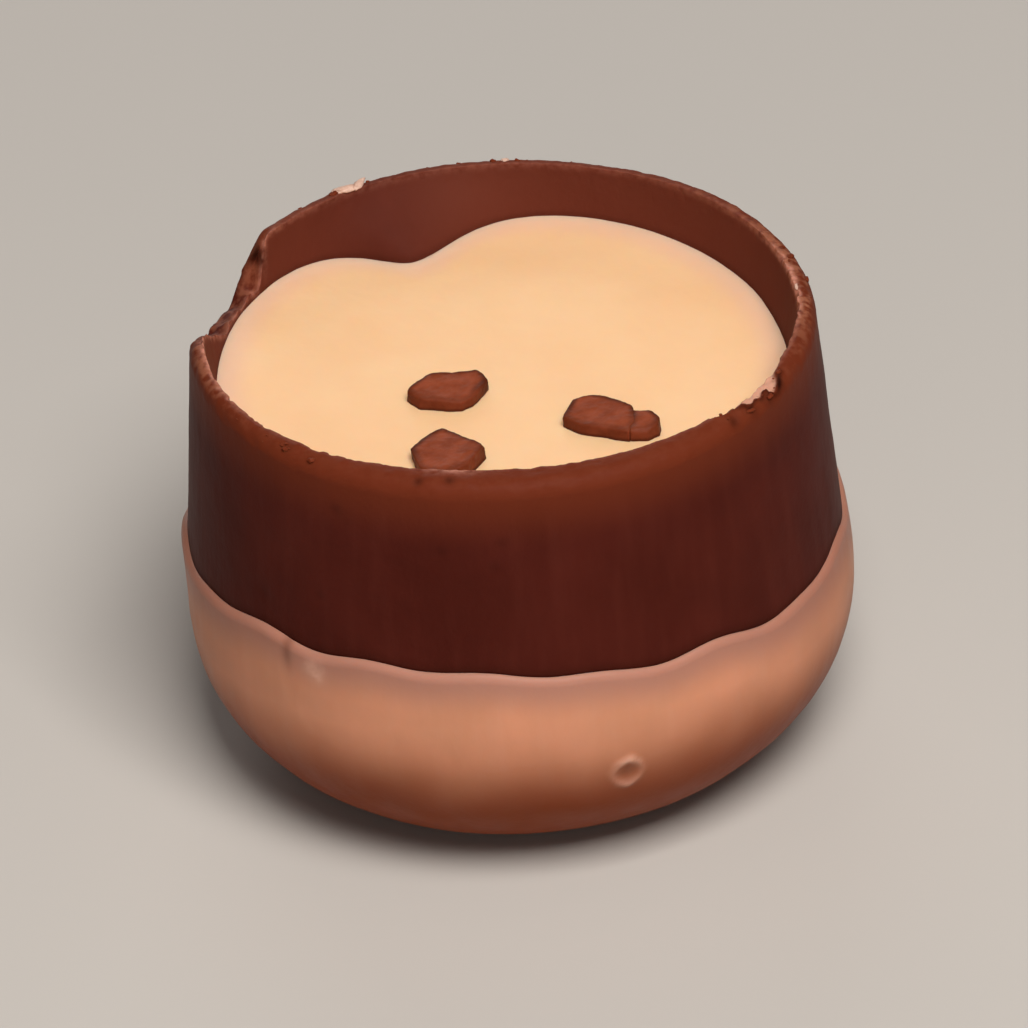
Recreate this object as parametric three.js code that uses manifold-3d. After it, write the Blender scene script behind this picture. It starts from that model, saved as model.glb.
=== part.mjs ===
// A filled chocolate cup, a sweet of one bite: a milk chocolate cup, its lower part dipped in
// blond chocolate, with a cream filling that carries chips of chopped chocolate.
//
// Millimetres, +Z up. The origin is the middle of the flat underside. Azimuths are in degrees,
// anticlockwise from +X seen from above, and the front of the sweet faces -Y.

import * as THREE from 'three';
import { mergeVertices } from 'three/addons/utils/BufferGeometryUtils.js';
import Module from 'manifold-3d';

const { lerp, smoothstep, degToRad } = THREE.MathUtils;

// The whole sweet
const HEIGHT = 21.1;
const WIDEST_RADIUS = 15.0;
const WIDEST_HEIGHT = 7.4;
const FLAT_RADIUS = 7.65; // of the underside, where the rounding begins
const GAP = 0.3; // between one solid and the next
const AZIMUTH_STEPS = 90;

// The bare wall of the cup, seen from outside
const RIM_RADIUS = 13.86;
const WALL_SLOPE = 0.0765; // the wall widens by this much for each millimetre down
const LIP_RADIUS = 0.85; // of the rounding at the outside of the rim
const RIM_UNEVENNESS = 0.07;

// The place at the left where the rim is broken away: the depth of its outer and its inner edge,
// and the azimuths between which each edge falls and between which it rises again
const OUTER_BREAK_DEPTH = 2.9;
const OUTER_BREAK = [139.5, 152, 157, 186];
const INNER_BREAK_DEPTH = 2.5;
const INNER_BREAK = [141.5, 145.5, 160, 184];
const BROKEN_LIP_RADIUS = 0.25;

// The blond coat that makes the foot
const COAT_BELOW = 1.5;
const COAT_SIDE = 1.0;
const COAT_SHIFT = 0.12; // the coat is thicker by this much towards +X
const COAT_EDGE = 0.3; // how far its upper edge stands proud of the wall
const COAT_EDGE_HEIGHT = 0.45;
const DIP_HEIGHT = 10.24;
const DIP_RISE = 1.52; // towards the front, where the sweet was dipped deeper
const DIP_RISE_AZIMUTH = -112;
const DIP_RISE_WIDTH = 44;
const DIP_WAVES = [[0.12, 9, 170], [0.105, 11, 192], [0.095, 17, 208]]; // amplitude, number, phase

// The inside of the cup
const FLOOR_THICKNESS = 1.5;
const FLOOR_FLAT_RADIUS = 6.9;
const MOUTH_RADIUS = 13.1;
const CAVITY_RADIUS = 12.8; // at the level of the cream
const LOW_CAVITY_RADIUS = 12.3; // where the rounding to the floor begins
const RUN_DEPTH = 2.6; // of the thick run of chocolate down the inside of the wall
const RUN_AZIMUTH = 112;
const RUN_WIDTH_BEFORE = 12.3; // it falls off slowly on one side
const RUN_WIDTH_AFTER = 7.2; // and fast on the other

// The filling
const CREAM_DEPTH = 3.0; // from the rim down to the cream
const CREAM_CROWN = 0.06; // how much higher the cream is in the middle

// The chips that lie on the cream. Corners are in plan, anticlockwise.
const CHIP_HEIGHT = 0.65; // above the cream
const CHIP_SUNK = 0.4;
const CHIP_BEVEL = 0.14;
const LEFT_CHIP = [
  [-4.45, -2], [-3.9, -2.8], [-2, -3.2], [-1.5, -2.8], [-0.75, -1.5], [-1.1, -0.7], [-3.5, -0.8],
];
const RIGHT_CHIP = [
  [2.35, -4.9], [3.1, -5.6], [5.3, -6.5], [5.6, -5.7], [5.6, -4.5], [4.4, -3.6], [3.7, -3.3], [2.95, -3.4],
];
const SMALL_CHIP = [[5.3, -6.4], [6.1, -6.45], [6.6, -6.1], [6.7, -5.5], [6.2, -4.8], [5.4, -4.35]];
const FRONT_CHIP = [
  [-4.4, -6.7], [-4, -8.3], [-2.9, -8.9], [-1.85, -8.4], [-1, -7], [-2.05, -6], [-2.85, -5.3], [-3.5, -5.6],
];
const CHIPS = [LEFT_CHIP, RIGHT_CHIP, SMALL_CHIP, FRONT_CHIP];

const COLOURS = { foot: '#d9ab8f', cup: '#5e2e24', filling: '#f6cfa4' };

const CREAM_HEIGHT = HEIGHT - CREAM_DEPTH;
const CUP_BOTTOM = COAT_BELOW + GAP;
const FLOOR_HEIGHT = CUP_BOTTOM + FLOOR_THICKNESS;
const COAT_INSIDE_RADIUS = WIDEST_RADIUS - COAT_SIDE;
const CORE_RADIUS = COAT_INSIDE_RADIUS - GAP; // of the cup inside its coat

const point = (radius, height) => new THREE.Vector2(radius, height);

// A local swelling round the sweet: 1 at its azimuth, and less with the distance from it.
function swell(azimuth, centre, widthBefore, widthAfter = widthBefore) {
  const away = THREE.MathUtils.euclideanModulo(azimuth - centre + 180, 360) - 180;
  const width = away < 0 ? widthBefore : widthAfter;
  return Math.exp(-0.5 * (away / width) ** 2);
}

// A wave that goes round the sweet a whole number of times.
function wave(azimuth, times, phase) {
  return Math.cos(degToRad(times * azimuth + phase));
}

function wallRadius(height) {
  return RIM_RADIUS + WALL_SLOPE * (HEIGHT - height);
}

function dipHeight(azimuth) {
  const rise = DIP_RISE * swell(azimuth, DIP_RISE_AZIMUTH, DIP_RISE_WIDTH);
  return DIP_WAVES.reduce(
    (height, [amplitude, times, phase]) => height + amplitude * wave(azimuth, times, phase),
    DIP_HEIGHT + rise,
  );
}

function coatRadius(azimuth) {
  return WIDEST_RADIUS + COAT_SHIFT * wave(azimuth, 1, 0) + 0.04 * wave(azimuth, 3, 70);
}

// How much of a broken edge's depth there is at an azimuth.
function breakShare(azimuth, [fallStart, fallEnd, riseStart, riseEnd]) {
  return smoothstep(azimuth, fallStart, fallEnd) * (1 - smoothstep(azimuth, riseStart, riseEnd));
}

// Height of the rim where it's whole.
function rimHeight(azimuth) {
  const dips = 2 - wave(azimuth, 2, 60) - wave(azimuth, 5, 150);
  return HEIGHT - (RIM_UNEVENNESS / 2) * dips;
}

// The inside of the wall at the rim, at the cream and where it rounds to the floor.
function mouthRadius(azimuth) {
  return MOUTH_RADIUS - 0.6 * swell(azimuth, -88, 30) + 0.2 * swell(azimuth, -165, 25);
}

function creamRadius(azimuth) {
  const wide = 0.5 * swell(azimuth, 140, 14) + 0.4 * swell(azimuth, 76, 16);
  const narrow = 0.33 * swell(azimuth, 14, 18) + 0.3 * swell(azimuth, -82, 26);
  return CAVITY_RADIUS + wide - narrow;
}

function runDepth(azimuth) {
  return RUN_DEPTH * swell(azimuth, RUN_AZIMUTH, RUN_WIDTH_BEFORE, RUN_WIDTH_AFTER);
}

function cavityRadius(azimuth, height) {
  if (height > CREAM_HEIGHT) {
    const down = (HEIGHT - height) / CREAM_DEPTH;
    const bare = lerp(mouthRadius(azimuth), creamRadius(azimuth), down);
    return bare - runDepth(azimuth) * smoothstep(down, 0, 1);
  }
  const down = (CREAM_HEIGHT - height) / (CREAM_HEIGHT - WIDEST_HEIGHT);
  const bare = lerp(creamRadius(azimuth), LOW_CAVITY_RADIUS, down);
  return bare - runDepth(azimuth) * (1 - smoothstep(down, 0, 1));
}

// A quarter of an ellipse from a flat bottom out and up to an upright side.
function roundedCorner(flatRadius, bottom, sideRadius, steps) {
  const across = sideRadius - flatRadius;
  const rise = WIDEST_HEIGHT - bottom;
  return new THREE.EllipseCurve(flatRadius, WIDEST_HEIGHT, across, rise, -Math.PI / 2, 0).getPoints(steps);
}

// Heights from one level to another, both included.
function levels(from, to, steps) {
  return Array.from({ length: steps + 1 }, (_, step) => lerp(from, to, step / steps));
}

// Where the rounding ends and the straight side of the filling begins, up to the cream.
const SIDE_LEVELS = levels(WIDEST_HEIGHT, CREAM_HEIGHT, 4).slice(1);

// Each profile runs from the axis below, round the solid, back to the axis above.
function footProfile(azimuth) {
  const edge = dipHeight(azimuth);
  const wall = wallRadius(edge);
  const widest = coatRadius(azimuth);
  const shoulder = edge - COAT_EDGE_HEIGHT;
  const side = new THREE.QuadraticBezierCurve(
    point(widest, WIDEST_HEIGHT),
    point(widest, lerp(WIDEST_HEIGHT, shoulder, 0.5)),
    point(wall + COAT_EDGE, shoulder),
  );
  const lip = new THREE.EllipseCurve(wall, shoulder, COAT_EDGE, COAT_EDGE_HEIGHT, 0, Math.PI / 2);
  const tuckEnd = edge - (wall - COAT_INSIDE_RADIUS);
  return [
    point(0, 0),
    ...roundedCorner(FLAT_RADIUS, 0, widest, 9),
    ...side.getPoints(3).slice(1),
    ...lip.getPoints(3).slice(1),
    point(COAT_INSIDE_RADIUS, tuckEnd),
    ...roundedCorner(FLAT_RADIUS, COAT_BELOW, COAT_INSIDE_RADIUS, 4).reverse(),
    point(0, COAT_BELOW),
  ];
}

function cupProfile(azimuth) {
  const bareEdge = dipHeight(azimuth) + GAP * Math.SQRT2;
  const bareRadius = wallRadius(bareEdge);
  const broken = breakShare(azimuth, OUTER_BREAK);
  const lipRadius = lerp(LIP_RADIUS, BROKEN_LIP_RADIUS, broken);
  const lipHeight = rimHeight(azimuth) - OUTER_BREAK_DEPTH * broken - lipRadius;
  const lipCentre = wallRadius(lipHeight) - lipRadius;
  const lip = new THREE.EllipseCurve(lipCentre, lipHeight, lipRadius, lipRadius, 0, Math.PI / 2);
  const mouthTop = rimHeight(azimuth) - INNER_BREAK_DEPTH * breakShare(azimuth, INNER_BREAK);
  const insideAt = (height) => point(cavityRadius(azimuth, height), height);
  return [
    point(0, CUP_BOTTOM),
    ...roundedCorner(FLAT_RADIUS, CUP_BOTTOM, CORE_RADIUS, 4),
    point(CORE_RADIUS, bareEdge - (bareRadius - CORE_RADIUS)),
    ...levels(bareEdge, lipHeight, 2).slice(0, 2).map((height) => point(wallRadius(height), height)),
    ...lip.getPoints(4),
    ...levels(mouthTop, CREAM_HEIGHT, 5).map(insideAt),
    ...SIDE_LEVELS.slice(0, -1).reverse().map(insideAt),
    ...roundedCorner(FLOOR_FLAT_RADIUS, FLOOR_HEIGHT, LOW_CAVITY_RADIUS, 4).reverse(),
    point(0, FLOOR_HEIGHT),
  ];
}

function fillingProfile(azimuth) {
  const sideAt = (height) => point(cavityRadius(azimuth, height) - GAP, height);
  const edge = sideAt(CREAM_HEIGHT).x;
  return [
    point(0, FLOOR_HEIGHT + GAP),
    ...roundedCorner(FLOOR_FLAT_RADIUS, FLOOR_HEIGHT + GAP, LOW_CAVITY_RADIUS - GAP, 4),
    ...SIDE_LEVELS.map(sideAt),
    point(0.66 * edge, CREAM_HEIGHT + CREAM_CROWN),
    point(0, CREAM_HEIGHT + CREAM_CROWN),
  ];
}

// A closed solid from a profile that may differ with the azimuth.
function turned(profileAt) {
  const profiles = levels(0, 360, AZIMUTH_STEPS).slice(0, -1).map(profileAt);
  const rows = profiles[0].length - 2;
  const positions = [0, 0, profiles[0][0].y, 0, 0, profiles[0][rows + 1].y];
  profiles.forEach((profile, step) => {
    const angle = (2 * Math.PI * step) / AZIMUTH_STEPS;
    profile.slice(1, -1).forEach(({ x, y }) => {
      positions.push(x * Math.cos(angle), x * Math.sin(angle), y);
    });
  });
  const at = (step, row) => 2 + (step % AZIMUTH_STEPS) * rows + row;
  const index = [];
  for (let step = 0; step < AZIMUTH_STEPS; step += 1) {
    index.push(0, at(step + 1, 0), at(step, 0));
    index.push(1, at(step, rows - 1), at(step + 1, rows - 1));
    for (let row = 0; row < rows - 1; row += 1) {
      index.push(at(step, row), at(step + 1, row), at(step + 1, row + 1));
      index.push(at(step, row), at(step + 1, row + 1), at(step, row + 1));
    }
  }
  const geometry = new THREE.BufferGeometry();
  geometry.setAttribute('position', new THREE.Float32BufferAttribute(positions, 3));
  geometry.setIndex(index);
  return geometry;
}

function chipGeometry(corners) {
  const outline = new THREE.Shape(corners.map(([x, y]) => new THREE.Vector2(x, y)));
  const geometry = new THREE.ExtrudeGeometry(outline, {
    depth: CHIP_HEIGHT + CHIP_SUNK - 2 * CHIP_BEVEL,
    bevelThickness: CHIP_BEVEL,
    bevelSize: CHIP_BEVEL,
    bevelSegments: 1,
    bevelOffset: -CHIP_BEVEL,
  });
  return geometry.translate(0, 0, CREAM_HEIGHT - CHIP_SUNK + CHIP_BEVEL);
}

function toSolid(wasm, geometry) {
  const bare = geometry.clone();
  bare.deleteAttribute('normal');
  bare.deleteAttribute('uv');
  const merged = mergeVertices(bare, 1e-4);
  const vertProperties = new Float32Array(merged.attributes.position.array);
  const triVerts = new Uint32Array(merged.index.array);
  return new wasm.Manifold(new wasm.Mesh({ numProp: 3, vertProperties, triVerts }));
}

function toGeometry(solid) {
  const mesh = solid.getMesh();
  const geometry = new THREE.BufferGeometry();
  geometry.setAttribute('position', new THREE.BufferAttribute(mesh.vertProperties, 3));
  geometry.setIndex(new THREE.BufferAttribute(mesh.triVerts, 1));
  return geometry;
}

async function fillingGeometry() {
  const wasm = await Module();
  wasm.setup();
  const cream = toSolid(wasm, turned(fillingProfile));
  const chips = CHIPS.map((corners) => toSolid(wasm, chipGeometry(corners)));
  return toGeometry(chips.reduce((joined, chip) => joined.add(chip), cream));
}

function piece(name, geometry, roughness) {
  const material = new THREE.MeshStandardMaterial({ color: COLOURS[name], roughness, metalness: 0 });
  geometry.computeVertexNormals();
  const mesh = new THREE.Mesh(geometry, material);
  mesh.name = name;
  return mesh;
}

const sweet = new THREE.Group();
sweet.add(piece('foot', turned(footProfile), 0.5));
sweet.add(piece('cup', turned(cupProfile), 0.45));
sweet.add(piece('filling', await fillingGeometry(), 0.5));

export default sweet;
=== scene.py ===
"""The looks of a filled chocolate cup, a sweet of one bite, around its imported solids.

Sizes are in millimetres in the part's own frame: +Z up, the origin in the middle of the flat
underside, azimuths in degrees anticlockwise from +X, and the front of the sweet towards -Y.
They become metres where a mesh is made.
"""

import math
import random

import bmesh
import bpy
import numpy as np
from mathutils import Matrix, Vector, noise


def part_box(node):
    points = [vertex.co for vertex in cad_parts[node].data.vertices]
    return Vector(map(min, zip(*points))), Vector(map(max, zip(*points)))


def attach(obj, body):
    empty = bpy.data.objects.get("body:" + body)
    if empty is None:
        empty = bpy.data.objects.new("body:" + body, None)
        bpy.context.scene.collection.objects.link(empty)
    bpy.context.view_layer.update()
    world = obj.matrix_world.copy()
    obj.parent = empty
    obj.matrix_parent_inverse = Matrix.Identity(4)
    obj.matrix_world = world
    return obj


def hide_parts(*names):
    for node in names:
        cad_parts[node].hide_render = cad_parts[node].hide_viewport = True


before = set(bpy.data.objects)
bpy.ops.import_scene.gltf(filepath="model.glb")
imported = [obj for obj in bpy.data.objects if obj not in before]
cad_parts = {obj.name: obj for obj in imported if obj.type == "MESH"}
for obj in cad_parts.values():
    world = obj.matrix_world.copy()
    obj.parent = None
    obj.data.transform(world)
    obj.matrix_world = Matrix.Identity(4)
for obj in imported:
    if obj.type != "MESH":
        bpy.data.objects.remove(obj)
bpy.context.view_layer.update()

MM = 0.001
LOW, HIGH = 0, 1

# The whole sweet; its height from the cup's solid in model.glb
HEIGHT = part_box("cup")[HIGH].z / MM
COAT_SHIFT = 0.12  # the coat is thicker by this much towards +X
WIDEST_RADIUS = 15.0
WIDEST_HEIGHT = 7.4
FLAT_RADIUS = 7.65
STEPS = 660  # round the sweet

# The bare wall of the cup
RIM_RADIUS = 13.86
WALL_SLOPE = 0.0765
LIP_RADIUS = 0.85
RIM_FLAT = 0.12  # at least, between the rounding of the rim and the mouth
RIM_UNEVENNESS = 0.07
EDGE_ROUNDING = 0.05  # of the crisp inner edge of the rim

# The place at the left where the rim is broken away: the depth of its outer and its inner edge,
# and the azimuths between which each edge falls and between which it rises again
OUTER_BREAK_DEPTH = 2.9
OUTER_BREAK = (139.5, 152, 157, 186)
INNER_BREAK_DEPTH = 2.5
INNER_BREAK = (141.5, 145.5, 160, 184)
BROKEN_LIP_RADIUS = 0.25

# The blond coat that makes the foot
COAT_BELOW = 1.5
COAT_SIDE = 1.0
COAT_EDGE = 0.3
COAT_EDGE_HEIGHT = 0.45
SEAM = 0.15  # the coat and the cup each reach this far into the gap between the solids
DIP_HEIGHT = 10.24
DIP_RISE = 1.52
DIP_RISE_AZIMUTH = -112
DIP_RISE_WIDTH = 44
DIP_WAVES = [(0.12, 9, 170), (0.105, 11, 192), (0.095, 17, 208)]  # amplitude, number, phase

# The inside of the cup
FLOOR_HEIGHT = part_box("filling")[LOW].z / MM - 2 * SEAM
FLOOR_FLAT_RADIUS = 6.9
MOUTH_RADIUS = 13.1
CAVITY_RADIUS = 12.8
LOW_CAVITY_RADIUS = 12.3
RUN_DEPTH = 2.6
RUN_AZIMUTH = 112
RUN_WIDTH_BEFORE = 12.3
RUN_WIDTH_AFTER = 7.2

# The filling
CREAM_DEPTH = 3.0
CREAM_HEIGHT = HEIGHT - CREAM_DEPTH
CREAM_CROWN = 0.06
CREAM_INTO_WALL = 0.04
MENISCUS_HEIGHT = 0.13
MENISCUS_WIDTH = 0.35

# The chips on the cream
CHIP_SUNK = 0.35
LEFT_CHIP = [(-4.45, -2), (-3.9, -2.8), (-2, -3.2), (-1.5, -2.8), (-0.75, -1.5), (-1.1, -0.7), (-3.5, -0.8)]
RIGHT_CHIP = [
    (2.35, -4.9), (3.1, -5.6), (5.3, -6.5), (5.6, -5.7), (5.6, -4.5), (4.4, -3.6), (3.7, -3.3), (2.95, -3.4),
]
SMALL_CHIP = [(5.3, -6.4), (6.1, -6.45), (6.6, -6.1), (6.7, -5.5), (6.2, -4.8), (5.4, -4.35)]
FRONT_CHIP = [
    (-4.4, -6.7), (-4, -8.3), (-2.9, -8.9), (-1.85, -8.4), (-1, -7), (-2.05, -6), (-2.85, -5.3), (-3.5, -5.6),
]
CHIPS = {  # corners in plan, height above the cream, tilt in degrees about X and Y
    "chip_left": (LEFT_CHIP, 0.6, (4, 2)),
    "chip_right": (RIGHT_CHIP, 0.62, (3, -2)),
    "chip_small": (SMALL_CHIP, 0.62, (2, -3)),
    "chip_front": (FRONT_CHIP, 0.6, (2, -3)),
}

# Marks: azimuth, height and size on the wall, azimuth, radius and size on the rim
WALL_PITS = [
    (-140.8, 13.2, 0.4),
    (-127.3, 14.3, 0.25),
    (-103.5, 17.7, 0.25),
    (-94.2, 17.0, 0.28),
    (-92.5, 18.2, 0.28),
    (-123.6, 18.9, 0.28),
]
RIM_PITS = [
    (-33.5, 13.85, 0.3),
    (-38.6, 14.0, 0.3),
    (-29, 13.7, 0.25),
    (-44, 13.7, 0.25),
    (-101.7, 13.3, 0.22),
    (-107.5, 13.5, 0.2),
]
NICK_AZIMUTH = 143.6
NICK_RADIUS = 13.5
NICK_HEIGHT = 20.0
BLISTER_AZIMUTH = -73.3
BLISTER_HEIGHT = 5.95
BLISTER_RADIUS = 0.66
DENT_AZIMUTH = -134
DENT_HEIGHT = 11.0
PALE_MARK_AZIMUTH = -128
PALE_MARK_HEIGHT = 10.6
STREAK_AZIMUTH = 142.6
STREAK_RADIUS = 13.1
STREAK_HEIGHT = 20.1
SMUDGE_AZIMUTH = -102
SMUDGE_RADIUS = 12.55
BROKEN_BIT_AZIMUTH = -35
BROKEN_BIT_REACH = 0.62  # from the mouth into the rim

# Broken bits on the rim: azimuth, radius, length round the rim and width
PALE_CRUMBS = [
    (120.2, 13.3, 1.15, 0.5),
    (117.2, 13.38, 1.0, 0.4),
    (87.5, 13.4, 0.36, 0.26),
    (4.2, 13.15, 0.5, 0.16),
]
BROWN_CRUMBS = [
    (122.8, 13.35, 0.44, 0.34),
    (89.8, 13.4, 0.3, 0.24),
    (85.2, 13.35, 0.26, 0.22),
    (16.2, 13.6, 0.34, 0.24),
    (8.3, 13.75, 0.36, 0.26),
    (-27, 13.4, 0.36, 0.2),
    (-33.5, 13.75, 0.4, 0.24),
    (-39.5, 13.7, 0.44, 0.22),
    (-129.5, 13.6, 0.36, 0.26),
    (-135.8, 13.6, 0.3, 0.24),
]

# The photograph's view of the sweet
CAMERA_ELEVATION = 33.05
CAMERA_ROLL = 3.53  # the sweet leans this much in the photograph
CAMERA_DISTANCE = 450
VIEW_WIDTH = 46.1
SENSOR_WIDTH = 36


# Forms shared with the solids

def smooth(value, low, high):
    share = np.clip((value - low) / (high - low), 0, 1)
    return share * share * (3 - 2 * share)


def lerp(a, b, share):
    return a + (b - a) * share


def swell(azimuth, centre, before, after=None):
    """A local swelling round the sweet: 1 at its azimuth, and less with the distance from it."""
    away = (azimuth - centre + 180) % 360 - 180
    width = np.where(away < 0, before, before if after is None else after)
    return np.exp(-0.5 * (away / width) ** 2)


def wave(azimuth, times, phase):
    return np.cos(np.radians(times * azimuth + phase))


def wall_radius(height):
    return RIM_RADIUS + WALL_SLOPE * (HEIGHT - height)


def dip_height(azimuth):
    ripple = sum(amplitude * wave(azimuth, times, phase) for amplitude, times, phase in DIP_WAVES)
    return DIP_HEIGHT + DIP_RISE * swell(azimuth, DIP_RISE_AZIMUTH, DIP_RISE_WIDTH) + ripple


def coat_radius(azimuth):
    return WIDEST_RADIUS + COAT_SHIFT * wave(azimuth, 1, 0) + 0.04 * wave(azimuth, 3, 70)


def break_share(azimuth, edge):
    """How much of a broken edge's depth there is at an azimuth."""
    fall_start, fall_end, rise_start, rise_end = edge
    azimuth = azimuth % 360
    return smooth(azimuth, fall_start, fall_end) * (1 - smooth(azimuth, rise_start, rise_end))


def rim_height(azimuth):
    """Height of the rim where it's whole."""
    dips = 2 - wave(azimuth, 2, 60) - wave(azimuth, 5, 150)
    return HEIGHT - (RIM_UNEVENNESS / 2) * dips


def outer_top(azimuth):
    jagged = 1 + 0.03 * wave(azimuth, 31, 40) + 0.02 * wave(azimuth, 67, 10)
    return rim_height(azimuth) - OUTER_BREAK_DEPTH * jagged * break_share(azimuth, OUTER_BREAK)


def inner_top(azimuth):
    jagged = 1 + 0.03 * wave(azimuth, 37, 90) + 0.02 * wave(azimuth, 71, 50)
    return rim_height(azimuth) - INNER_BREAK_DEPTH * jagged * break_share(azimuth, INNER_BREAK)


def lip_radius(azimuth):
    return lerp(LIP_RADIUS, BROKEN_LIP_RADIUS, break_share(azimuth, OUTER_BREAK))


def mouth_radius(azimuth):
    return MOUTH_RADIUS - 0.6 * swell(azimuth, -88, 30) + 0.2 * swell(azimuth, -165, 25)


def lip_width(azimuth):
    """How far in from the wall the rounding of the rim reaches."""
    wall = wall_radius(outer_top(azimuth) - lip_radius(azimuth))
    mouth = cavity_radius(azimuth, inner_top(azimuth))
    return np.minimum(lip_radius(azimuth), wall - mouth - RIM_FLAT)


def cream_radius(azimuth):
    wide = 0.5 * swell(azimuth, 140, 14) + 0.4 * swell(azimuth, 76, 16)
    narrow = 0.33 * swell(azimuth, 14, 18) + 0.3 * swell(azimuth, -82, 26)
    return CAVITY_RADIUS + wide - narrow


def run_depth(azimuth):
    return RUN_DEPTH * swell(azimuth, RUN_AZIMUTH, RUN_WIDTH_BEFORE, RUN_WIDTH_AFTER)


def cavity_radius(azimuth, height):
    down = (HEIGHT - height) / CREAM_DEPTH
    above = lerp(mouth_radius(azimuth), cream_radius(azimuth), down)
    above = above - run_depth(azimuth) * smooth(down, 0, 1)
    down = (CREAM_HEIGHT - height) / (CREAM_HEIGHT - WIDEST_HEIGHT)
    below = lerp(cream_radius(azimuth), LOW_CAVITY_RADIUS, down)
    below = below - run_depth(azimuth) * (1 - smooth(down, 0, 1))
    return np.where(height > CREAM_HEIGHT, above, below)


# Rows of (radius, height) round the sweet

AZIMUTHS = np.linspace(0, 360, STEPS, endpoint=False)


def ellipse_rows(centre, height, across, rise, start, end, steps):
    """Rows along part of an ellipse, from one angle to another, both in degrees."""
    angles = np.radians(np.linspace(start, end, steps + 1))
    return [(centre + across * math.cos(a), height + rise * math.sin(a)) for a in angles]


def straight_rows(start, end, steps):
    shares = np.linspace(0, 1, steps + 1)
    return [(lerp(start[0], end[0], share), lerp(start[1], end[1], share)) for share in shares]


def floor_rows(flat_radius, bottom, side_radius, steps):
    """Rows over a flat bottom and its rounded corner, up to where the sweet is widest."""
    flat = straight_rows((0.3, bottom), (flat_radius, bottom), 6)
    across, rise = side_radius - flat_radius, WIDEST_HEIGHT - bottom
    return flat + ellipse_rows(flat_radius, WIDEST_HEIGHT, across, rise, -90, 0, steps)[1:]


def coat_rows():
    edge = dip_height(AZIMUTHS)
    wall = wall_radius(edge)
    widest = coat_radius(AZIMUTHS)
    shoulder = edge - COAT_EDGE_HEIGHT
    middle = lerp(WIDEST_HEIGHT, shoulder, 0.5)
    side = []
    for t in np.linspace(0, 1, 24)[1:]:
        radius = (1 - t * t) * widest + t * t * (wall + COAT_EDGE)
        height = lerp(lerp(WIDEST_HEIGHT, middle, t), lerp(middle, shoulder, t), t)
        side.append((radius, height))
    lip = ellipse_rows(wall - 0.02, shoulder, COAT_EDGE + 0.02, COAT_EDGE_HEIGHT, 0, 90, 12)
    inside = WIDEST_RADIUS - COAT_SIDE - SEAM
    tuck = straight_rows((wall - 0.02, edge), (inside, edge - (wall - inside)), 4)
    under = floor_rows(FLAT_RADIUS, COAT_BELOW + SEAM, inside, 8)[::-1]
    return floor_rows(FLAT_RADIUS, 0, widest, 84) + side + lip[1:] + tuck[1:] + under


def cup_rows():
    edge = dip_height(AZIMUTHS)
    core = WIDEST_RADIUS - COAT_SIDE - SEAM
    foot_wall = wall_radius(edge)
    lip_top, mouth_top = outer_top(AZIMUTHS), inner_top(AZIMUTHS)
    rise = lip_radius(AZIMUTHS)
    lip_height = lip_top - rise
    lip_wall = wall_radius(lip_height)
    across = lip_width(AZIMUTHS)
    flat_end = cavity_radius(AZIMUTHS, mouth_top) + EDGE_ROUNDING
    bottom = floor_rows(FLAT_RADIUS, COAT_BELOW + SEAM, core, 8)
    tuck = straight_rows((core, edge - (foot_wall - core)), (foot_wall, edge), 4)
    wall = straight_rows((foot_wall, edge), (lip_wall, lip_height), 58)
    lip = ellipse_rows(lip_wall - across, lip_height, across, rise, 0, 90, 14)
    flat = straight_rows((lip_wall - across, lip_top), (flat_end, mouth_top), 8)
    rounding = EDGE_ROUNDING
    inner_edge = ellipse_rows(flat_end, mouth_top - rounding, rounding, rounding, 90, 180, 4)
    inside_heights = [lerp(mouth_top - 0.15, CREAM_HEIGHT, share) for share in np.linspace(0, 1, 28)]
    below_heights = np.linspace(CREAM_HEIGHT - 0.4, WIDEST_HEIGHT, 5)
    inside = [(cavity_radius(AZIMUTHS, h), h) for h in (*inside_heights, *below_heights)]
    floor = floor_rows(FLOOR_FLAT_RADIUS, FLOOR_HEIGHT, LOW_CAVITY_RADIUS, 6)[::-1]
    return bottom + tuck + wall[1:] + lip[1:] + flat[1:] + inner_edge[1:] + inside + floor[1:]


def cream_surface(share):
    """Radius and height of the cream's top at a share of the way from the axis to the wall."""
    edge = cavity_radius(AZIMUTHS, CREAM_HEIGHT) + CREAM_INTO_WALL
    radius = share * edge
    meniscus = MENISCUS_HEIGHT * np.exp(-(edge - radius) / MENISCUS_WIDTH)
    return radius, CREAM_HEIGHT + CREAM_CROWN * (1 - share**2) + meniscus


def cream_rows():
    heights = np.linspace(WIDEST_HEIGHT, CREAM_HEIGHT, 12)[1:]
    side = [(cavity_radius(AZIMUTHS, h) + CREAM_INTO_WALL, h) for h in heights]
    top = [cream_surface(share) for share in 1 - np.linspace(0, 1, 64, endpoint=False) ** 1.7]
    low_radius = LOW_CAVITY_RADIUS + CREAM_INTO_WALL
    return floor_rows(FLOOR_FLAT_RADIUS, FLOOR_HEIGHT, low_radius, 6) + side + top


# Meshes

def grain(points, size, octaves=2, seed=0):
    """Noise from about -1 to 1 at points in millimetres, with features of the given size."""
    shift = Vector((17.3 * seed, -9.1 * seed, 4.7 * seed))
    return np.array([noise.fractal(Vector(p) / size + shift, 1.0, 2.0, octaves) for p in points])


def add_object(name, mesh):
    mesh.polygons.foreach_set("use_smooth", [True] * len(mesh.polygons))
    obj = bpy.data.objects.new(name, mesh)
    bpy.context.scene.collection.objects.link(obj)
    return obj


def new_object(name, vertices, faces):
    """A smooth object from vertices in millimetres."""
    mesh = bpy.data.meshes.new(name)
    mesh.from_pydata((np.asarray(vertices) * MM).tolist(), [], faces)
    mesh.update()
    return add_object(name, mesh)


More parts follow.
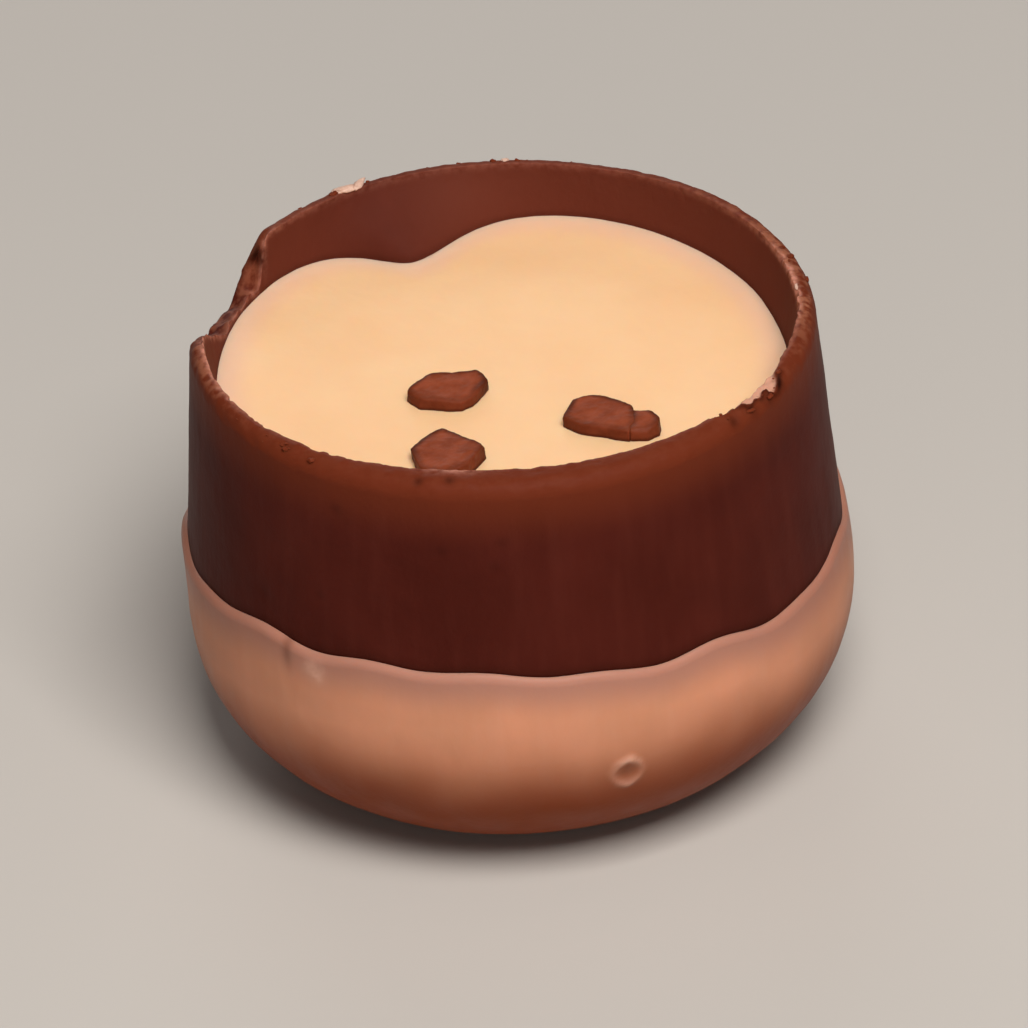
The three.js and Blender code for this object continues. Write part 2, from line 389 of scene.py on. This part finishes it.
def vertex_normals(obj):
    normals = np.zeros(3 * len(obj.data.vertices), np.float32)
    obj.data.vertex_normals.foreach_get("vector", normals)
    return normals.reshape(-1, 3)


def vertex_places(obj):
    """The vertices in millimetres."""
    places = np.zeros(3 * len(obj.data.vertices))
    obj.data.vertices.foreach_get("co", places)
    return places.reshape(-1, 3) / MM


def set_places(obj, places):
    obj.data.vertices.foreach_set("co", (places * MM).ravel())
    obj.data.update()


def push_out(obj, amounts):
    """Moves each vertex along its normal by an amount in millimetres."""
    set_places(obj, vertex_places(obj) + vertex_normals(obj) * np.asarray(amounts)[:, None])


def paint(obj, name, values):
    """A named number for each vertex, which a material reads."""
    layer = obj.data.attributes.new(name, "FLOAT", "POINT")
    layer.data.foreach_set("value", np.asarray(values, np.float32))


def apply_modifiers(obj):
    """Bakes the modifiers into the mesh."""
    graph = bpy.context.evaluated_depsgraph_get()
    mesh = bpy.data.meshes.new_from_object(obj.evaluated_get(graph))
    obj.modifiers.clear()
    old = obj.data
    obj.data = mesh
    bpy.data.meshes.remove(old)


def turned(name, rows):
    """A closed object from rows of (radius, height), with one more point on the axis at each end."""
    radii = np.array([np.broadcast_to(radius, STEPS) for radius, _ in rows])
    heights = np.array([np.broadcast_to(height, STEPS) for _, height in rows])
    angles = np.radians(AZIMUTHS)
    ring = np.stack([radii * np.cos(angles), radii * np.sin(angles), heights], axis=-1).reshape(-1, 3)
    poles = [[0, 0, heights[0].mean()], [0, 0, heights[-1].mean()]]
    start, end = len(ring), len(ring) + 1
    last = (len(rows) - 1) * STEPS
    faces = []
    for step in range(STEPS):
        after = (step + 1) % STEPS
        faces.append((start, after, step))
        faces.append((end, last + step, last + after))
        for row in range(len(rows) - 1):
            low, high = row * STEPS, (row + 1) * STEPS
            faces.append((low + step, low + after, high + after, high + step))
    return new_object(name, np.vstack([ring, poles]), faces)


def polar(places):
    """Azimuth and radius of each place."""
    azimuth = np.degrees(np.arctan2(places[:, 1], places[:, 0]))
    return azimuth, np.hypot(places[:, 0], places[:, 1])


def from_spot(places, azimuth, radius, height):
    """How far each place lies round, out and up from a spot, in millimetres."""
    place_azimuth, place_radius = polar(places)
    around = (place_azimuth - azimuth + 180) % 360 - 180
    return around * math.radians(1) * radius, place_radius - radius, places[:, 2] - height


def spot(places, azimuth, radius, height, width, tall=None):
    """How near each place is to a spot: 1 in its middle, 0 far from it."""
    across, out, up = from_spot(places, azimuth, radius, height)
    return np.exp(-((across / width) ** 2) - (out / width) ** 2 - (up / (tall or width)) ** 2)


# Materials

class Nodes:
    """A material's node tree, with each kind of node that the materials use."""

    def __init__(self, name, **sockets):
        self.material = bpy.data.materials.new(name)
        self.material.use_nodes = True
        self.tree = self.material.node_tree
        self.shader = self.tree.nodes["Principled BSDF"]
        for socket, value in sockets.items():
            self.shader.inputs[socket.replace("_", " ")].default_value = value
        self.place = self.tree.nodes.new("ShaderNodeTexCoord").outputs["Object"]

    def set(self, socket, value):
        if isinstance(value, bpy.types.NodeSocket):
            self.tree.links.new(value, socket)
        else:
            socket.default_value = value

    def node(self, kind, **inputs):
        made = self.tree.nodes.new(kind)
        for name, value in inputs.items():
            self.set(made.inputs[name.replace("_", " ")], value)
        return made

    def noise(self, size, detail=3.0, stretch=(1, 1, 1)):
        """Noise with features of this size in millimetres, drawn out by stretch."""
        scale = Vector([1 / (size * MM * s) for s in stretch])
        mapping = self.node("ShaderNodeMapping", Vector=self.place, Scale=scale)
        vector = mapping.outputs["Vector"]
        return self.node("ShaderNodeTexNoise", Vector=vector, Scale=1.0, Detail=detail).outputs["Fac"]

    def remap(self, value, low, high, to_low=0.0, to_high=1.0):
        made = self.node("ShaderNodeMapRange", Value=value)
        for name, number in (("From Min", low), ("From Max", high), ("To Min", to_low), ("To Max", to_high)):
            made.inputs[name].default_value = number
        return made.outputs["Result"]

    def painted(self, name):
        made = self.node("ShaderNodeAttribute")
        made.attribute_name = name
        return made.outputs["Fac"]

    def multiply(self, a, b):
        made = self.node("ShaderNodeMath")
        made.operation = "MULTIPLY"
        self.set(made.inputs[0], a)
        self.set(made.inputs[1], b)
        return made.outputs[0]

    def mix(self, share, a, b):
        """Colour a where share is 0 and colour b where it is 1."""
        made = self.node("ShaderNodeMix")
        made.data_type = "RGBA"
        colours = [socket for socket in made.inputs if socket.type == "RGBA"]
        self.set(made.inputs["Factor"], share)
        self.set(colours[0], a)
        self.set(colours[1], b)
        return next(socket for socket in made.outputs if socket.type == "RGBA")

    def finish(self, tone, roughness, bumps):
        """Links the shader. Each bump is (height, distance in millimetres)."""
        self.set(self.shader.inputs["Base Color"], tone)
        self.set(self.shader.inputs["Roughness"], roughness)
        normal = None
        for height, distance in bumps:
            made = self.node("ShaderNodeBump", Height=height, Distance=distance * MM)
            if normal is not None:
                self.set(made.inputs["Normal"], normal)
            normal = made.outputs["Normal"]
        self.set(self.shader.inputs["Normal"], normal)
        return self.material


def colour(red, green, blue):
    return (red, green, blue, 1.0)


def milk_chocolate():
    m = Nodes(
        "milk_chocolate",
        Subsurface_Weight=0.2,
        Subsurface_Radius=(1.0, 0.35, 0.2),
        Subsurface_Scale=0.8 * MM,
        Specular_IOR_Level=0.03,
    )
    cloudy = m.remap(m.noise(5), 0.35, 0.65)
    body = m.mix(cloudy, colour(0.066, 0.0102, 0.0060), colour(0.082, 0.0130, 0.0078))
    streaks = m.remap(m.noise(0.9, stretch=(1, 1, 7)), 0.45, 0.75)
    body = m.mix(m.multiply(streaks, 0.3), body, colour(0.11, 0.021, 0.013))
    # Painted light: the inside of the wall is a lighter brown, as lit by the bounce from the cream, less so
    # at the run.
    body = m.mix(m.painted("inner"), body, colour(0.137, 0.0320, 0.0180))
    # Painted light: the outside of the wall is lighter up towards the lip, where the light from above falls.
    body = m.mix(m.painted("lip"), body, colour(0.158, 0.029, 0.0105))
    mottled = m.remap(m.noise(0.45, 2.0), 0.40, 0.60)
    # Painted light: the rim's flat top is lighter and mottled, most of all at its two sides; its broken face
    # is paler.
    body = m.mix(m.multiply(m.painted("top"), mottled), body, colour(0.29, 0.098, 0.052))
    # The rim's inner edge: a painted highlight at its two sides, paler wear at the front right, and the light
    # marks.
    highlight_and_worn = m.multiply(m.painted("edge_highlight_and_wear"), m.remap(m.noise(0.32, 2.0), 0.3, 0.6))
    body = m.mix(highlight_and_worn, body, colour(0.56, 0.235, 0.165))
    smeared = m.multiply(m.painted("smear"), m.remap(m.noise(0.5, 2.0), 0.28, 0.42))
    body = m.mix(smeared, body, colour(0.60, 0.30, 0.205))
    # Painted shade in the pits, the nick and the crack, in the crease at the edge of the coat and just above
    # the cream.
    body = m.mix(m.painted("painted_shade"), body, colour(0.024, 0.0045, 0.0022))
    roughness = m.remap(m.painted("inner"), 0, 0.6, 0.50, 0.68)
    bumps = [(m.noise(0.22, 3.0), 0.012), (m.noise(1.6, 2.0, (1, 1, 3)), 0.05)]
    return m.finish(body, roughness, bumps)


def chip_chocolate():
    m = Nodes(
        "chip_chocolate",
        Subsurface_Weight=0.2,
        Subsurface_Radius=(1.0, 0.4, 0.25),
        Subsurface_Scale=0.5 * MM,
        Specular_IOR_Level=0.08,
    )
    cloudy = m.remap(m.noise(0.7), 0.35, 0.65)
    body = m.mix(cloudy, colour(0.198, 0.039, 0.0140), colour(0.268, 0.058, 0.0235))
    # Painted shade on the chip's sides and round the outline of its top.
    body = m.mix(m.painted("painted_chip_shade"), body, colour(0.082, 0.0170, 0.0065))
    roughness = m.remap(m.noise(0.5), 0.3, 0.7, 0.42, 0.58)
    return m.finish(body, roughness, [(m.noise(0.15, 3.0), 0.015)])


def blond_chocolate():
    m = Nodes(
        "blond_chocolate",
        Subsurface_Weight=0.4,
        Subsurface_Radius=(1.0, 0.5, 0.3),
        Subsurface_Scale=0.8 * MM,
        Specular_IOR_Level=0.10,
    )
    cloudy = m.remap(m.noise(4), 0.35, 0.65)
    body = m.mix(cloudy, colour(0.65, 0.287, 0.164), colour(0.73, 0.317, 0.186))
    streaks = m.remap(m.noise(0.8, stretch=(1, 1, 8)), 0.45, 0.8)
    body = m.mix(m.multiply(streaks, 0.25), body, colour(0.72, 0.36, 0.24))
    # Painted shade: a greyer band on the coat just below the edge of the cup.
    body = m.mix(m.painted("upper"), body, colour(0.47, 0.222, 0.158))
    # Painted shade and a warm painted reflection: the coat darkens to brown low down and at its two sides.
    body = m.mix(m.painted("painted_low_shade"), body, colour(0.205, 0.034, 0.004))
    # The dark dent, and painted shade in the blister's pit.
    body = m.mix(m.painted("mark"), body, colour(0.20, 0.070, 0.040))
    # The pale marks, and a painted highlight on the blister's ring.
    body = m.mix(m.painted("pale"), body, colour(0.80, 0.47, 0.35))
    roughness = m.remap(m.noise(2.0), 0.3, 0.7, 0.38, 0.50)
    bumps = [(m.noise(0.3, 3.0), 0.01), (m.noise(2.2, 2.0, (1, 1, 2)), 0.06)]
    return m.finish(body, roughness, bumps)


def cream():
    m = Nodes(
        "cream",
        Subsurface_Weight=0.5,
        Subsurface_Radius=(1.0, 0.6, 0.35),
        Subsurface_Scale=1.2 * MM,
        Specular_IOR_Level=0.2,
    )
    cloudy = m.remap(m.noise(4), 0.35, 0.65)
    body = m.mix(cloudy, colour(0.91, 0.555, 0.297), colour(0.93, 0.585, 0.322))
    # Painted shade: the cream is greyer towards the wall.
    body = m.mix(m.multiply(m.painted("edge"), 0.7), body, colour(0.83, 0.49, 0.36))
    roughness = m.remap(m.noise(1.5), 0.3, 0.7, 0.40, 0.5)
    return m.finish(body, roughness, [(m.noise(0.35, 2.0), 0.006), (m.noise(2.5, 2.0), 0.05)])


def pale_crumb():
    m = Nodes("pale_crumb", Specular_IOR_Level=0.3)
    body = m.mix(m.noise(0.25), colour(0.44, 0.23, 0.16), colour(0.86, 0.60, 0.47))
    return m.finish(body, m.remap(m.noise(0.4), 0.3, 0.7, 0.6, 0.8), [(m.noise(0.1), 0.02)])


def pale_floor():
    m = Nodes("pale_floor", Specular_IOR_Level=0.2)
    tone = m.mix(m.noise(60, 2.0), colour(0.535, 0.50, 0.46), colour(0.55, 0.515, 0.475))
    return m.finish(tone, m.remap(m.noise(30), 0, 1, 0.6, 0.7), [(m.noise(2), 0.01)])


# Pieces

def keep(obj, material, slot, *replaced):
    obj.data.materials.append(material)
    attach(obj, "root")
    if replaced:
        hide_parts(*replaced)
    return obj


def blister(places):
    """A burst bubble low on the front of the foot: a raised ring round a small pit."""
    across, out, up = from_spot(places, BLISTER_AZIMUTH, WIDEST_RADIUS, BLISTER_HEIGHT)
    uneven = 1 + 0.25 * grain(places, 0.8, 2, seed=10)
    away = np.hypot(across, up) * uneven
    near = np.abs(out) < 1
    height = 0.3 + 0.7 * (up / np.maximum(away, 0.1)) ** 2
    ring = near * height * np.exp(-(((away - BLISTER_RADIUS) / 0.2) ** 2))
    pit = near * np.exp(-((away / 0.38) ** 2))
    return ring, pit


def make_coat():
    """The blond coat, darker low down and at its two sides with painted shade and a warm painted reflection,
    with a dent, a pale mark and a blister.
    """
    coat = turned("blond_foot", coat_rows())
    places = vertex_places(coat)
    azimuth, radius = polar(places)
    outside = smooth(places[:, 2], 0.2, 2.0) * (radius > FLAT_RADIUS)
    relief = 0.05 * grain(places, 5.0) + 0.012 * grain(places * (1, 1, 0.35), 0.9, seed=1)
    mark_radius = WIDEST_RADIUS - 0.3
    dent = spot(places, DENT_AZIMUTH, mark_radius, DENT_HEIGHT, 0.28, 0.7)
    pale_mark = spot(places, PALE_MARK_AZIMUTH, mark_radius, PALE_MARK_HEIGHT, 0.5)
    ring, pit = blister(places)
    push_out(coat, outside * (relief - 0.04 * dent + 0.12 * ring - 0.18 * pit))
    below_edge = dip_height(azimuth) - places[:, 2]
    speckle = (0.5 + 0.5 * grain(places, 0.4, seed=3)).clip(0, 1)
    uneven = 0.5 * grain(places, 4.0, seed=4)
    # Painted shade just below the edge of the cup.
    paint(coat, "upper", 1 - smooth(below_edge, 0.3, 2.2))
    # Painted shade at the coat's left and right, and low down.
    sides = 0.3 * (swell(azimuth, -165, 28) + swell(azimuth, -12, 28))
    paint(coat, "painted_low_shade", np.maximum(1 - smooth(places[:, 2] + uneven, 3.7, 9.6), sides))
    # The dent is dark; the blister's pit gets painted shade and its ring a painted highlight.
    paint(coat, "mark", np.maximum(dent, 0.5 * pit))
    paint(coat, "pale", pale_mark * speckle + 0.4 * ring)
    return keep(coat, blond_chocolate(), "blond_chocolate", "foot")


def rim_wear_and_highlight(azimuth):
    """How much the rim wears round the sweet: most of all at the front right, and at its two sides, where its
    inner edge and flat top also get painted highlight.
    """
    sides = swell(azimuth, -170, 12) + 0.3 * swell(azimuth, 150, 12) + swell(azimuth, 6, 10)
    return sides, swell(azimuth, -34, 8)


def broken_place(places):
    """Where the inner edge of the rim is broken away at the front right, and the crack round that."""
    azimuth, radius = polar(places)
    uneven = 1 + 0.7 * grain(places * (1, 1, 0), 0.8, 2, seed=12)
    reach = BROKEN_BIT_REACH * swell(azimuth, BROKEN_BIT_AZIMUTH, 6) * uneven
    into_rim = radius - mouth_radius(azimuth)
    near_top = smooth(places[:, 2], HEIGHT - 0.9, HEIGHT - 0.3)
    inside = smooth(reach - into_rim, 0, 0.12) * near_top * (reach > 0.08)
    crack = np.exp(-(((into_rim - reach - 0.12) / 0.12) ** 2)) * near_top * smooth(reach, 0.15, 0.35)
    return inside, crack


def break_edge(cup):
    """Breaks small bits out of the inner edge of the rim, and one larger one at the front right."""
    places = vertex_places(cup)
    azimuth, radius = polar(places)
    sides, front_right = rim_wear_and_highlight(azimuth)
    weak = 0.3 + 0.8 * front_right + 0.5 * sides + 0.5 * swell(azimuth, -140, 18)
    notch = 0.16 * weak * smooth(grain(places, 0.5, 2, seed=11), 0.05, 0.6)
    to_edge = np.hypot((radius - mouth_radius(azimuth)) / 0.28, (places[:, 2] - HEIGHT) / 0.4)
    outward = places * (1, 1, 0) / np.maximum(radius, 1)[:, None]
    inside = broken_place(places)[0]
    moved = places + outward * (notch * np.exp(-(to_edge**2)))[:, None]
    moved[:, 2] -= inside * (0.28 + 0.1 * grain(places, 0.35, 2, seed=13))
    set_places(cup, moved)


def cup_pits(places):
    """Small pits in the wall and in the rim, and the nick in the broken place: 1 in their middles."""
    wall = [spot(places, azimuth, wall_radius(height), height, size) for azimuth, height, size in WALL_PITS]
    rim = [spot(places, azimuth, radius, HEIGHT - 0.15, size, 0.5) for azimuth, radius, size in RIM_PITS]
    nick = spot(places, NICK_AZIMUTH, NICK_RADIUS, NICK_HEIGHT, 0.34, 0.45)
    return np.max(wall, axis=0), np.max(rim, axis=0), nick


def outside_mouth(places):
    """Which places belong to the rim and the outside of the wall, and not to the inside."""
    azimuth, radius = polar(places)
    return radius > mouth_radius(azimuth) + 0.2


def broken_face(places):
    """Which places lie on the rough face of the broken rim at the left."""
    azimuth, radius = polar(places)
    height = places[:, 2]
    within_wall = (radius > cavity_radius(azimuth, height) + 0.04) & (radius < wall_radius(height) - 0.04)
    at_break = smooth(break_share(azimuth, OUTER_BREAK), 0.03, 0.2)
    return at_break * within_wall * (height > CREAM_HEIGHT - 0.6)


def light_marks(places):
    """The pale streak beside the broken rim at the left, and the pale smudge on the front of the rim."""
    streak = spot(places, STREAK_AZIMUTH, STREAK_RADIUS, STREAK_HEIGHT, 0.16, 1.1)
    across, out, up = from_spot(places, SMUDGE_AZIMUTH, SMUDGE_RADIUS, HEIGHT)
    smudge = np.exp(-((across / 1.1) ** 2) - (out / 0.35) ** 2 - (up / 0.3) ** 2)
    return 0.4 * streak + 0.7 * smudge


def paint_rim(cup, places, broken, fracture):
    """The inner edge and flat top of the rim, paler with painted highlight at the two sides and with wear at
    the front right, its light marks and its broken places.
    """
    azimuth, radius = polar(places)
    height = places[:, 2]
    sides, front_right = rim_wear_and_highlight(azimuth)
    mouth_top = inner_top(azimuth)
    from_mouth = (radius - cavity_radius(azimuth, mouth_top)) / 0.16
    inner_edge = np.exp(-(from_mouth**2) - ((height - mouth_top + 0.04) / 0.2) ** 2)
    # Painted highlight along the inner edge at the two sides, with wear at the front right.
    lit_and_worn_edge = inner_edge * (0.12 + sides + 0.4 * front_right)
    flat_top = smooth(height, HEIGHT - 0.5, HEIGHT - 0.1)
    # Painted light on the flat top, most of all at the two sides.
    lit_and_worn_top = flat_top * (0.06 + 0.75 * (sides + swell(azimuth, 14, 20)))
    paint(cup, "edge_highlight_and_wear", (lit_and_worn_edge + light_marks(places)).clip(0, 1))
    paint(cup, "smear", broken)
    paint(cup, "top", (lit_and_worn_top + 0.45 * fracture).clip(0, 1))


def paint_wall(cup, places, pitted):
    """Painted shade in the pits, the nick, the crack and the crease, and painted light on the lip and the
    inside of the wall.
    """
    azimuth, _ = polar(places)
    height = places[:, 2]
    outside = outside_mouth(places)
    # Painted shade in the crease along the coat's edge and in the corner above the cream.
    crease = outside * np.exp(-(((height - dip_height(azimuth)) / 0.35) ** 2))
    above_cream = ~outside * np.exp(-(((height - CREAM_HEIGHT - 0.15) / 0.2) ** 2))
    paint(cup, "painted_shade", (pitted + 0.4 * crease + 0.3 * above_cream).clip(0, 1))
    # Painted light: lighter towards the lip.
    paint(cup, "lip", 0.8 * outside * smooth(height, HEIGHT - 3.4, HEIGHT - 0.3))
    # Painted light on the inside of the wall; the roughness reads the same mask.
    paint(cup, "inner", ~outside * (1 - 0.55 * swell(azimuth, RUN_AZIMUTH + 4, 10)))


def make_cup(material):
    """The brown cup: a little uneven where it shows, ragged at the rim, and rough where it broke."""
    cup = turned("brown_cup", cup_rows())
    places = vertex_places(cup)
    height = places[:, 2]
    shown = (height > CREAM_HEIGHT - 0.5) | (outside_mouth(places) & (height > DIP_HEIGHT - 0.6))
    near_rim = smooth(height, HEIGHT - 1.2, HEIGHT - 0.2)
    relief = 0.035 * grain(places, 4.0) + 0.008 * grain(places, 0.7, seed=5)
    fracture = broken_face(places)
    ragged = (0.04 * near_rim + 0.09 * fracture) * grain(places, 0.6, 3, seed=6)
    wall_pits, rim_pits, nick = cup_pits(places)
    broken, crack = broken_place(places)
    paint_rim(cup, places, broken, fracture)
    # The pits, the nick and the crack get painted shade.
    paint_wall(cup, places, 1.4 * nick + 0.2 * wall_pits + 0.6 * rim_pits + 0.7 * crack)
    push_out(cup, shown * (relief + ragged - 0.1 * nick - 0.04 * wall_pits - 0.08 * rim_pits))
    break_edge(cup)
    return keep(cup, material, "milk_chocolate", "cup")


def make_cream():
    """The cream: nearly flat, and a little greyer towards the wall with painted shade."""
    filling = turned("cream_filling", cream_rows())
    places = vertex_places(filling)
    azimuth, radius = polar(places)
    top = smooth(places[:, 2], CREAM_HEIGHT - 0.2, CREAM_HEIGHT)
    relief = 0.03 * grain(places, 3.5, seed=8) + 0.006 * grain(places, 0.6, seed=9)
    from_wall = cavity_radius(azimuth, CREAM_HEIGHT) - radius
    # Painted shade towards the wall.
    paint(filling, "edge", 1 - smooth(from_wall, 0.1, 1.8))
    push_out(filling, top * relief)
    return keep(filling, cream(), "cream", "filling")


def cut_facets(block, draw, height):
    """Cuts a few slanted faces off the upper edges of a block."""
    corners = [vertex.co.copy() for vertex in block.verts if vertex.co.z > 0]
    middle = sum(corners, Vector()) / len(corners)
    for corner in draw.sample(corners, 3):
        out = (corner - middle).to_2d().normalized().to_3d()
        normal = (out + Vector((0, 0, draw.uniform(0.8, 1.6)))).normalized()
        place = corner - out * draw.uniform(0.1, 0.3) * height
        geometry = block.verts[:] + block.edges[:] + block.faces[:]
        cut = bmesh.ops.bisect_plane(block, geom=geometry, plane_co=place, plane_no=normal, clear_outer=True)
        edges = [item for item in cut["geom_cut"] if isinstance(item, bmesh.types.BMEdge)]
        bmesh.ops.holes_fill(block, edges=edges)


def chip_block(corners, height, draw):
    """A thin block with the outline of a chip and broken upper corners, round its own middle."""
    middle = Vector(np.mean(corners, axis=0)).to_3d()
    block = bmesh.new()
    rings = []
    for level, spread in ((-CHIP_SUNK, 1.0), (height, 0.97)):
        flat = [(Vector(corner).to_3d() - middle) * spread + Vector((0, 0, level)) for corner in corners]
        rings.append([block.verts.new(place) for place in flat])
    block.faces.new(rings[0][::-1])
    block.faces.new(rings[1])
    for i in range(len(corners)):
        after = (i + 1) % len(corners)
        block.faces.new((rings[0][i], rings[0][after], rings[1][after], rings[1][i]))
    cut_facets(block, draw, height)
    return block, middle


def inset(places, corners):
    """How far each place lies from an outline, in plan."""
    nearest = np.full(len(places), np.inf)
    for start, end in zip(corners, corners[1:] + corners[:1]):
        side = np.subtract(end, start)
        from_start = places[:, :2] - start
        along = (from_start @ side / (side @ side)).clip(0, 1)
        nearest = np.minimum(nearest, np.linalg.norm(from_start - along[:, None] * side, axis=1))
    return nearest


def make_chip(name, corners, height, tilt, material, seed):
    """A chip of chopped chocolate: uneven, with rounded edges, and painted shade on its sides and round its
    outline, darkest at the back.
    """
    block, middle = chip_block(corners, height, random.Random(seed))
    turn = Matrix.Rotation(math.radians(tilt[0]), 4, "X") @ Matrix.Rotation(math.radians(tilt[1]), 4, "Y")
    lift = Matrix.Translation(middle + Vector((0, 0, CREAM_HEIGHT + CREAM_CROWN)))
    bmesh.ops.transform(block, matrix=Matrix.Scale(MM, 4) @ lift @ turn, verts=block.verts)
    mesh = bpy.data.meshes.new(name)
    block.to_mesh(mesh)
    block.free()
    chip = add_object(name, mesh)
    bevel = chip.modifiers.new("rounded_edges", "BEVEL")
    bevel.width = 0.16 * MM
    bevel.segments = 3
    remesh = chip.modifiers.new("even_mesh", "REMESH")
    remesh.mode = "VOXEL"
    remesh.voxel_size = 0.055 * MM
    remesh.use_smooth_shade = True
    apply_modifiers(chip)
    places = vertex_places(chip)
    push_out(chip, 0.05 * grain(places, 0.9, 2, seed=seed) + 0.02 * grain(places, 0.25, 2, seed=seed + 1))
    places = vertex_places(chip)
    low = 1 - smooth(places[:, 2], CREAM_HEIGHT + 0.1, CREAM_HEIGHT + 0.3)
    outline = 1 - smooth(inset(places, corners), 0.12, 0.4)
    at_back = smooth(places[:, 1] - middle.y, -0.8, 0.4)
    # Painted shade: the sides near the cream, and the outline of the top, most of all at the back.
    paint(chip, "painted_chip_shade", np.maximum(low, outline * (0.4 + 0.6 * at_back)))
    return keep(chip, material, "milk_chocolate")


def rim_surface(azimuth, radius):
    """Height of the rim's top at a place on it."""
    top = outer_top(azimuth)
    rise = lip_radius(azimuth)
    across = lip_width(azimuth)
    centre = wall_radius(top - rise) - across
    outward = min(max((radius - centre) / across, 0), 1)
    return top - rise * (1 - math.sqrt(1 - outward**2))


def scattered_crumbs(draw, azimuth, spread, count):
    """Tiny crumbs at random places on the rim round an azimuth."""
    crumbs = []
    for _ in range(count):
        place = azimuth + draw.gauss(0, spread)
        radius = draw.uniform(mouth_radius(place) + 0.2, 13.75)
        size = draw.uniform(0.07, 0.16)
        crumbs.append((place, radius, size * draw.uniform(1, 1.8), size))
    return crumbs


def make_crumbs(name, crumbs, material, slot, seed):
    """Broken bits that stick to the rim, joined in one mesh."""
    draw = random.Random(seed)
    bits = bmesh.new()
    for azimuth, radius, length, width in crumbs:
        shift = Vector([draw.uniform(-50, 50) for _ in range(3)])
        made = bmesh.ops.create_icosphere(bits, subdivisions=2 if length < 0.25 else 3, radius=0.5)
        angle = math.radians(azimuth)
        level = rim_surface(azimuth, radius) + 0.08 * width
        place = Vector((radius * math.cos(angle), radius * math.sin(angle), level))
        turn = Matrix.Rotation(angle + math.pi / 2 + draw.gauss(0, 0.25), 3, "Z")
        for vertex in made["verts"]:
            uneven = vertex.co * (1 + 0.5 * noise.fractal(vertex.co * 2.4 + shift, 1.0, 2.0, 2))
            local = Vector((uneven.x * length, uneven.y * width, uneven.z * width * 0.65))
            vertex.co = (place + turn @ local) * MM
    mesh = bpy.data.meshes.new(name)
    bits.to_mesh(mesh)
    bits.free()
    obj = add_object(name, mesh)
    # Painted light: the brown crumbs on the rim take the lighter tone of the lit lip.
    paint(obj, "lip", np.full(len(mesh.vertices), 0.9))
    return keep(obj, material, slot)


def make_chips():
    material = chip_chocolate()
    for number, (name, (corners, height, tilt)) in enumerate(CHIPS.items()):
        make_chip(name, corners, height, tilt, material, 20 + 3 * number)


def make_rim_crumbs(brown_material):
    draw = random.Random(7)
    brown = BROWN_CRUMBS + scattered_crumbs(draw, -33, 7, 6) + scattered_crumbs(draw, -140, 12, 8)
    brown += scattered_crumbs(draw, 110, 14, 6) + scattered_crumbs(draw, 12, 8, 5)
    make_crumbs("pale_crumbs", PALE_CRUMBS, pale_crumb(), "blond_chocolate", 40)
    make_crumbs("brown_crumbs", brown, brown_material, "milk_chocolate", 41)


def make_floor():
    reach = 1200
    corners = [(-reach, -reach, 0), (reach, -reach, 0), (reach, reach, 0), (-reach, reach, 0)]
    floor = new_object("floor", corners, [(0, 1, 2, 3)])
    floor.data.materials.append(pale_floor())


# Studio

def make_camera():
    elevation, roll = math.radians(CAMERA_ELEVATION), math.radians(CAMERA_ROLL)
    back = Vector((0, -math.cos(elevation), math.sin(elevation)))
    right, up = Vector((1, 0, 0)), Vector((0, math.sin(elevation), math.cos(elevation)))
    camera_right = math.cos(roll) * right - math.sin(roll) * up
    camera_up = math.sin(roll) * right + math.cos(roll) * up
    place = Vector((0, 0, HEIGHT / 2)) + CAMERA_DISTANCE * back
    data = bpy.data.cameras.new("camera")
    data.sensor_width = SENSOR_WIDTH
    data.lens = SENSOR_WIDTH * CAMERA_DISTANCE / VIEW_WIDTH
    data.clip_start = 0.01
    data.clip_end = 20
    camera = bpy.data.objects.new("camera", data)
    bpy.context.scene.collection.objects.link(camera)
    rotation = Matrix((camera_right, camera_up, back)).transposed().to_4x4()
    camera.matrix_world = Matrix.Translation(place * MM) @ rotation
    bpy.context.scene.camera = camera


def make_light(name, place, size, power, tint):
    """A soft area light, in millimetres and watts, that faces the sweet."""
    data = bpy.data.lights.new(name, "AREA")
    data.shape = "SQUARE"
    data.size = size * MM
    data.energy = power
    data.color = tint
    light = bpy.data.objects.new(name, data)
    bpy.context.scene.collection.objects.link(light)
    light.location = Vector(place) * MM
    towards = Vector((0, 0, HEIGHT / 2)) - Vector(place)
    light.rotation_euler = towards.to_track_quat("-Z", "Y").to_euler()


def make_studio():
    make_light("key", (75, -215, 400), 230, 2.32, (1.0, 0.97, 0.94))
    make_light("front", (-40, -480, 160), 320, 0.3, (1.0, 0.96, 0.92))
    make_light("back", (-70, 430, 150), 280, 0.45, (1.0, 0.96, 0.92))
    world = bpy.data.worlds.new("studio")
    world.use_nodes = True
    background = world.node_tree.nodes["Background"]
    background.inputs["Color"].default_value = (0.93, 0.95, 1.0, 1.0)
    background.inputs["Strength"].default_value = 0.06
    bpy.context.scene.world = world
    bpy.context.scene.view_settings.view_transform = "Standard"
    bpy.context.scene.view_settings.look = "None"


make_camera()
make_studio()
make_floor()
make_coat()
brown_chocolate = milk_chocolate()
make_cup(brown_chocolate)
make_cream()
make_chips()
make_rim_crumbs(brown_chocolate)

bpy.context.view_layer.update()
